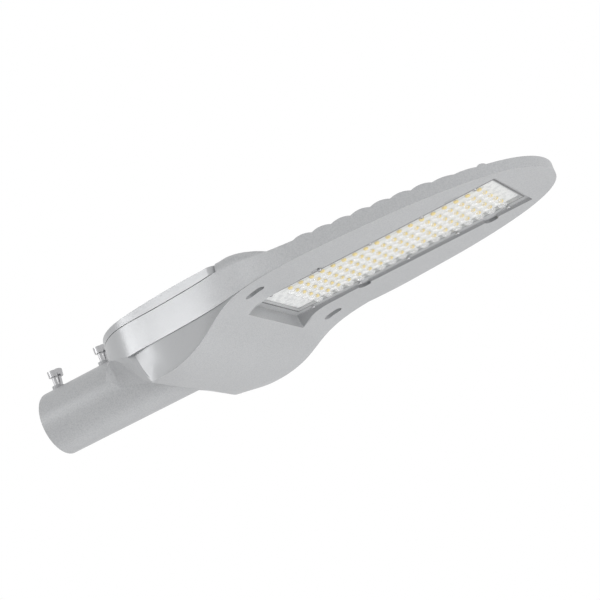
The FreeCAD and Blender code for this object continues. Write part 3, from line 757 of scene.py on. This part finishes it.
@dataclass
class Studio:
    """A pale floor far below the head, a white surround and soft lamps."""

    floor_level: float = -1.6
    floor_half: float = 6.0
    floor_colour: Colour = (0.8, 0.8, 0.8)
    mirrored_share: float = 0.85
    ambient: float = 0.58
    lamps: list[Lamp] = field(default_factory=lambda: [
        Lamp("key_lamp", place=(-0.75, -1.15, 0.35), aim=(0.12, 0.0, 0.0),
             width=0.7, height=0.35, power=3.0),
        Lamp("low_lamp", place=(0.1, 0.35, -1.3), aim=(0.3, 0.0, 0.0),
             width=1.8, height=1.8, power=7.6),
        Lamp("tip_lamp", place=(2.0, -0.6, -0.75), aim=(0.4, 0.0, 0.0),
             width=1.0, height=1.0, power=16.0),
        Lamp("flank_lamp", place=(0.3, -1.6, -0.3), aim=(0.15, 0.0, -0.02),
             width=0.5, height=0.5, power=2.0),
        Lamp("top_lamp", place=(0.0, -0.7, 1.4), aim=(0.1, 0.0, 0.0),
             width=0.6, height=0.6, power=1.5),
    ])

    def build(self) -> None:
        """Makes the floor, the surround and the lamps."""
        bpy.context.scene.view_settings.view_transform = "Standard"
        self.make_floor()
        self.make_world()
        for lamp in self.lamps:
            lamp.build()

    def make_floor(self) -> None:
        """A pale floor that is plain white where it is seen."""
        mesh = bpy.data.meshes.new("floor")
        half = self.floor_half
        plan = ((-half, -half), (half, -half), (half, half), (-half, half))
        mesh.from_pydata([(x, y, self.floor_level) for x, y in plan], [], [(0, 1, 2, 3)])
        floor = bpy.data.objects.new("floor", mesh)
        bpy.context.scene.collection.objects.link(floor)
        s = Shader("pale_floor")
        seen = s.node("LightPath", output=Ray.CAMERA.value)
        for ray in (Ray.GLOSSY, Ray.TRANSMISSION):
            mirrored = s.node("LightPath", output=ray.value) * self.mirrored_share
            seen = s.maths("MAXIMUM", seen, mirrored)
        plain = s.node("BsdfDiffuse", Color=self.floor_colour)
        white = s.node("Emission", Color=WHITE, Strength=1.0)
        mesh.materials.append(s.end(s.node("MixShader", in0=seen, in1=plain, in2=white)))

    def make_world(self) -> None:
        """A surround that is white where it is seen and soft grey as a light."""
        world = bpy.data.worlds.new("surround")
        world.use_nodes = True
        tree = world.node_tree
        tree.nodes.clear()
        path = tree.nodes.new("ShaderNodeLightPath")
        seen = path.outputs[Ray.CAMERA.value]
        for ray in (Ray.GLOSSY, Ray.TRANSMISSION):
            either = tree.nodes.new("ShaderNodeMath")
            either.operation = "MAXIMUM"
            tree.links.new(seen, either.inputs[0])
            tree.links.new(path.outputs[ray.value], either.inputs[1])
            seen = either.outputs[0]
        strength = tree.nodes.new("ShaderNodeMapRange")
        tree.links.new(seen, strength.inputs["Value"])
        strength.inputs["To Min"].default_value = self.ambient
        strength.inputs["To Max"].default_value = 1.0
        light = tree.nodes.new("ShaderNodeBackground")
        light.inputs["Color"].default_value = (*WHITE, 1.0)
        tree.links.new(strength.outputs["Result"], light.inputs["Strength"])
        output = tree.nodes.new("ShaderNodeOutputWorld")
        tree.links.new(light.outputs[0], output.inputs["Surface"])
        bpy.context.scene.world = world


@dataclass(frozen=True)
class Ring:
    """One ring of a turned shape, in millimetres, round or six-sided."""

    radius: float
    level: float
    six_sided: bool = False

    def corner(self, index: int, sides: int) -> Vector:
        """One of the ring's corners.

        Args:
            index: which corner.
            sides: how many the ring has.

        Returns:
            The corner's place, in metres.
        """
        turn = math.tau * index / sides
        reach = self.radius
        if self.six_sided:
            reach *= math.cos(math.pi / 6) / math.cos(turn % (math.pi / 3) - math.pi / 6)
        return Vector((reach * math.cos(turn), reach * math.sin(turn), self.level)) * MM


def finished(name: str, bm: bmesh.types.BMesh, sharp: float = 35.0) -> bpy.types.Mesh:
    """Turns a bmesh into a mesh with outward normals and smooth faces.

    Args:
        name: the mesh's name.
        bm: the shape, which is freed.
        sharp: edges bent by more degrees than this stay sharp.

    Returns:
        The mesh.
    """
    bmesh.ops.recalc_face_normals(bm, faces=bm.faces)
    mesh = bpy.data.meshes.new(name)
    bm.to_mesh(mesh)
    bm.free()
    mesh.shade_smooth()
    mesh.set_sharp_from_angle(angle=math.radians(sharp))
    return mesh


def turned(name: str, rings: Sequence[Ring], sides: int = 12) -> bpy.types.Object:
    """A closed shape built ring by ring about the Z axis.

    Args:
        name: the object's name.
        rings: its rings, in order.
        sides: corners in each ring.

    Returns:
        The object, linked to no collection.
    """
    bm = bmesh.new()
    loops = [[bm.verts.new(ring.corner(index, sides)) for index in range(sides)] for ring in rings]
    for low, high in zip(loops, loops[1:]):
        for index in range(sides):
            after = (index + 1) % sides
            bm.faces.new((low[index], low[after], high[after], high[index]))
    bm.faces.new(loops[0])
    bm.faces.new(loops[-1])
    return bpy.data.objects.new(name, finished(name, bm))


class Copies:
    """Copies of one shape on a list of places, made with Geometry Nodes."""

    def __init__(self) -> None:
        """Makes the node group that every use shares."""
        self.group = bpy.data.node_groups.new("copies_on_points", "GeometryNodeTree")
        face = self.group.interface
        face.new_socket("Points", in_out="INPUT", socket_type="NodeSocketGeometry")
        shape = face.new_socket("Shape", in_out="INPUT", socket_type="NodeSocketObject")
        finish = face.new_socket("Finish", in_out="INPUT", socket_type="NodeSocketMaterial")
        self.shape_key, self.finish_key = shape.identifier, finish.identifier
        face.new_socket("Copies", in_out="OUTPUT", socket_type="NodeSocketGeometry")
        enter = self.group.nodes.new("NodeGroupInput")
        source = self.group.nodes.new("GeometryNodeObjectInfo")
        spread = self.group.nodes.new("GeometryNodeInstanceOnPoints")
        real = self.group.nodes.new("GeometryNodeRealizeInstances")
        paint = self.group.nodes.new("GeometryNodeSetMaterial")
        leave = self.group.nodes.new("NodeGroupOutput")
        link = self.group.links.new
        link(enter.outputs["Shape"], source.inputs["Object"])
        link(enter.outputs["Points"], spread.inputs["Points"])
        link(source.outputs["Geometry"], spread.inputs["Instance"])
        link(spread.outputs["Instances"], real.inputs["Geometry"])
        link(real.outputs["Geometry"], paint.inputs["Geometry"])
        link(enter.outputs["Finish"], paint.inputs["Material"])
        link(paint.outputs["Geometry"], leave.inputs["Copies"])

    def build(self, name: str, shape: bpy.types.Object, places: Sequence[Vector],
              finish: bpy.types.Material) -> bpy.types.Object:
        """Sets copies of a shape on their places, as one plain mesh.

        Args:
            name: the new object's name.
            shape: what is copied.
            places: where, in metres.
            finish: the copies' material.

        Returns:
            The new object.
        """
        points = bpy.data.meshes.new(name + "_points")
        points.from_pydata([tuple(place) for place in places], [], [])
        carrier = bpy.data.objects.new(name + "_carrier", points)
        collection = bpy.context.scene.collection
        collection.objects.link(carrier)
        modifier = carrier.modifiers.new("copies", "NODES")
        modifier.node_group = self.group
        modifier[self.shape_key] = shape
        modifier[self.finish_key] = finish
        graph = bpy.context.evaluated_depsgraph_get()
        mesh = bpy.data.meshes.new_from_object(carrier.evaluated_get(graph))
        mesh.name = name
        bpy.data.objects.remove(carrier)
        piece = bpy.data.objects.new(name, mesh)
        collection.objects.link(piece)
        log.info("%s: %d copies, %d faces", name, len(places), len(mesh.polygons))
        return piece


@dataclass(frozen=True)
class LensMoulding:
    """The one-piece lens: a flange, a raised field and a round dome over each LED.

    Sizes are in millimetres.
    """

    panel: Box
    field: LedField
    thickness: float = 1.5
    raised: float = 0.5
    field_margin: float = 9.5
    bevel: float = 0.25
    sharp: float = 20.0
    dome_sides: int = 16
    dome: tuple[Ring, ...] = (Ring(4.9, 0.2), Ring(4.9, -0.3), Ring(4.5, -0.45), Ring(4.2, -1.2),
                              Ring(3.5, -1.95), Ring(2.3, -2.45), Ring(0.9, -2.68))
    bead: tuple[Ring, ...] = (Ring(2.6, 0.05), Ring(2.6, -0.4), Ring(2.4, -0.9), Ring(1.8, -1.4),
                              Ring(0.7, -1.65))

    @property
    def face(self) -> float:
        """Level of the flange's lower face, in metres."""
        return self.panel.high.z - self.thickness * MM

    def plate(self, material: bpy.types.Material) -> bpy.types.Object:
        """Makes the flange with its raised field.

        Args:
            material: the clear plastic.

        Returns:
            The plate.
        """
        bm = bmesh.new()
        bmesh.ops.create_cube(bm, size=1.0)
        low, high = self.panel.low, self.panel.high
        for vertex in bm.verts:
            vertex.co = Vector((low.x if vertex.co.x < 0 else high.x,
                                low.y if vertex.co.y < 0 else high.y,
                                self.face if vertex.co.z < 0 else high.z))
        under = min(bm.faces, key=lambda face: face.calc_center_median().z)
        bmesh.ops.inset_region(bm, faces=[under], thickness=self.field_margin * MM)
        for vertex in under.verts:
            vertex.co.z -= self.raised * MM
        bmesh.ops.bevel(bm, geom=list(bm.edges), offset=self.bevel * MM, segments=1,
                        affect="EDGES")
        mesh = finished("lens_plate", bm, self.sharp)
        mesh.materials.append(material)
        piece = bpy.data.objects.new("lens_plate", mesh)
        bpy.context.scene.collection.objects.link(piece)
        return piece

    def domes(self, copies: Copies, material: bpy.types.Material) -> bpy.types.Object:
        """Makes the domes."""
        places = self.field.places(self.face - self.raised * MM)
        return copies.build("lens_domes", turned("dome", self.dome, self.dome_sides), places,
                            material)

    def phosphor(self, copies: Copies, material: bpy.types.Material) -> bpy.types.Object:
        """Makes the small phosphor dome on every LED package."""
        places = self.field.places(self.field.chips.low.z)
        return copies.build("phosphor_domes", turned("phosphor", self.bead), places, material)


@dataclass(frozen=True)
class SocketScrews:
    """Button-head screws with hexagon sockets, one on each place of a CAD node's screws.

    Sizes are in millimetres. The rings of the head and of its socket are pairs of radius and
    level, as shares of the head's radius and height.
    """

    name: str
    radius: float
    height: float
    shank: float
    length: float
    upwards: bool
    tip_share: float = 0.7
    tip_taper: float = 0.5
    head: tuple[Range, ...] = ((1.0, 0.0), (1.0, 0.45), (0.88, 0.8), (0.62, 1.0))
    socket: tuple[Range, ...] = ((0.5, 1.0), (0.48, 0.35))

    def shape(self) -> bpy.types.Object:
        """Makes one screw, with its head's seat at the origin.

        Returns:
            The screw, linked to no collection.
        """
        rings = [Ring(self.shank * self.tip_share, -self.length),
                 Ring(self.shank, self.shank * self.tip_taper - self.length),
                 Ring(self.shank, 0.0)]
        for six_sided, pairs in ((False, self.head), (True, self.socket)):
            rings += [Ring(self.radius * wide, self.height * high, six_sided)
                      for wide, high in pairs]
        way = 1.0 if self.upwards else -1.0
        return turned(self.name + "_one", [Ring(ring.radius, ring.level * way, ring.six_sided)
                                           for ring in rings])

    def build(self, copies: Copies, node: bpy.types.Object,
              material: bpy.types.Material) -> bpy.types.Object:
        """Sets the screws on the node's places."""
        places = [Vector((place.x, place.y, self.seat(node))) for place in islands(node)]
        return copies.build(self.name, self.shape(), places, material)

    def seat(self, node: bpy.types.Object) -> float:
        """Level under the heads, from the node's box."""
        box = Box.of(node)
        return box.high.z - self.height * MM if self.upwards else box.low.z + self.height * MM


def islands(node: bpy.types.Object, joint: float = 1e-6) -> list[Vector]:
    """Middle of each separate solid of an object.

    Args:
        node: an object whose mesh holds several solids.
        joint: corners nearer to each other than this, in metres, are one.

    Returns:
        One place for each solid.
    """
    bm = bmesh.new()
    bm.from_mesh(node.data)
    bmesh.ops.remove_doubles(bm, verts=bm.verts, dist=joint)
    left = set(bm.verts)
    middles = []
    while left:
        solid, edge = [], [left.pop()]
        while edge:
            vertex = edge.pop()
            solid.append(vertex.co)
            near = {link.other_vert(vertex) for link in vertex.link_edges} & left
            left -= near
            edge += near
        middles.append(node.matrix_world @ Box.around(solid).middle)
    bm.free()
    return sorted(middles, key=lambda place: (round(place.x, 4), place.y))


def dress(node: bpy.types.Object, material: bpy.types.Material) -> None:
    """Gives a CAD node's object one material.

    Args:
        node: the node's object.
        material: its new finish.
    """
    slots = node.data.materials
    if len(slots) == 0:
        slots.append(material)
    for index in range(len(slots)):
        slots[index] = material
    log.info("dressed %s", node.name)


def stand_in(piece: bpy.types.Object, name: str) -> None:
    """Lets a finer piece stand for a CAD node, on the body that carries it.

    Args:
        piece: the finer piece.
        name: the node's name.
    """
    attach(piece, ROOT)
    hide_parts(name)
    log.info("%s stands for %s", piece.name, name)


def own_finishes(lens: LensMoulding) -> dict[str, bpy.types.Material]:
    """Makes the finish of every node that shares it with no other kind of node.

    Args:
        lens: the lens, which knows the window and the grid of LEDs.

    Returns:
        The finishes, by node.
    """
    paint = CastPaint()
    return {
        # The housing's paint carries painted shade on the walls of the lens's recess.
        "housing": paint.build("housing_paint", SmoothWalls(), RecessPaintedShade(lens.panel)),
        "top_cover": paint.build("cover_paint"),
        "lens_panel": ClearOptic().build("clear_optic"),
        "lens_gasket": Moulding((0.15, 0.152, 0.155), roughness=0.6).build("grey_silicone"),
        "led_chips": ChipFace(lens.field).build("chip_face"),
        "led_board": WhiteMask(lens.field).build("white_mask"),
        "board_connector": Moulding((0.8, 0.79, 0.74), roughness=0.4).build("connector_white"),
        "thermal_pad": Moulding((0.45, 0.46, 0.48), roughness=0.7).build("pad_grey"),
        "gear_tray": Steel((0.5, 0.5, 0.51), roughness=0.4).build("plain_sheet"),
        "driver": Moulding((0.62, 0.62, 0.63), roughness=0.45).build("driver_case"),
        "terminal_block": Moulding((0.7, 0.69, 0.64), roughness=0.45).build("terminal_grey"),
        "surge_protector": Moulding((0.05, 0.05, 0.055), roughness=0.45).build("surge_black"),
        "earth_screw": Steel((0.62, 0.47, 0.2), roughness=0.25).build("brass"),
        "cable_gland": Moulding((0.04, 0.04, 0.042), roughness=0.4).build("gland_black"),
        "output_lead": Moulding((0.04, 0.04, 0.04), roughness=0.5).build("lead_black"),
        "supply_leads": Moulding((0.16, 0.07, 0.03), roughness=0.5).build("lead_brown"),
    }


def main() -> None:
    """Builds the whole scene in order."""
    logging.basicConfig(level=logging.INFO, format="%(name)s: %(message)s")
    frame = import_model()
    nodes = frame["nodes"]
    PhotoCamera().build()
    Studio().build()
    lens = LensMoulding(Box.of(nodes["lens_panel"]), LedField(Box.of(nodes["led_chips"])))
    steel = Steel().build("bright_steel")
    rubber = Moulding((0.035, 0.035, 0.035), roughness=0.75).build("black_rubber")
    finishes = own_finishes(lens)
    for name, node in nodes.items():
        dress(node, finishes.get(name, steel if "screw" in name else rubber))
    copies = Copies()
    stand_in(lens.plate(finishes["lens_panel"]), "lens_panel")
    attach(lens.phosphor(copies, Phosphor().build("phosphor")), ROOT)
    domes = ClearOptic(alpha=0.04, rim=1.0, colour=(0.97, 0.97, 0.97), mirror=1.0, power=2.3)
    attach(lens.domes(copies, domes.build("dome_optic")), ROOT)
    for screws in (SocketScrews("lens_screws", radius=2.3, height=1.2, shank=1.4, length=4.4,
                                upwards=False),
                   SocketScrews("cover_screws", radius=4.0, height=2.5, shank=1.95, length=16.5,
                                upwards=True)):
        stand_in(screws.build(copies, nodes[screws.name], steel), screws.name)


if __name__ == "__main__":
    main()
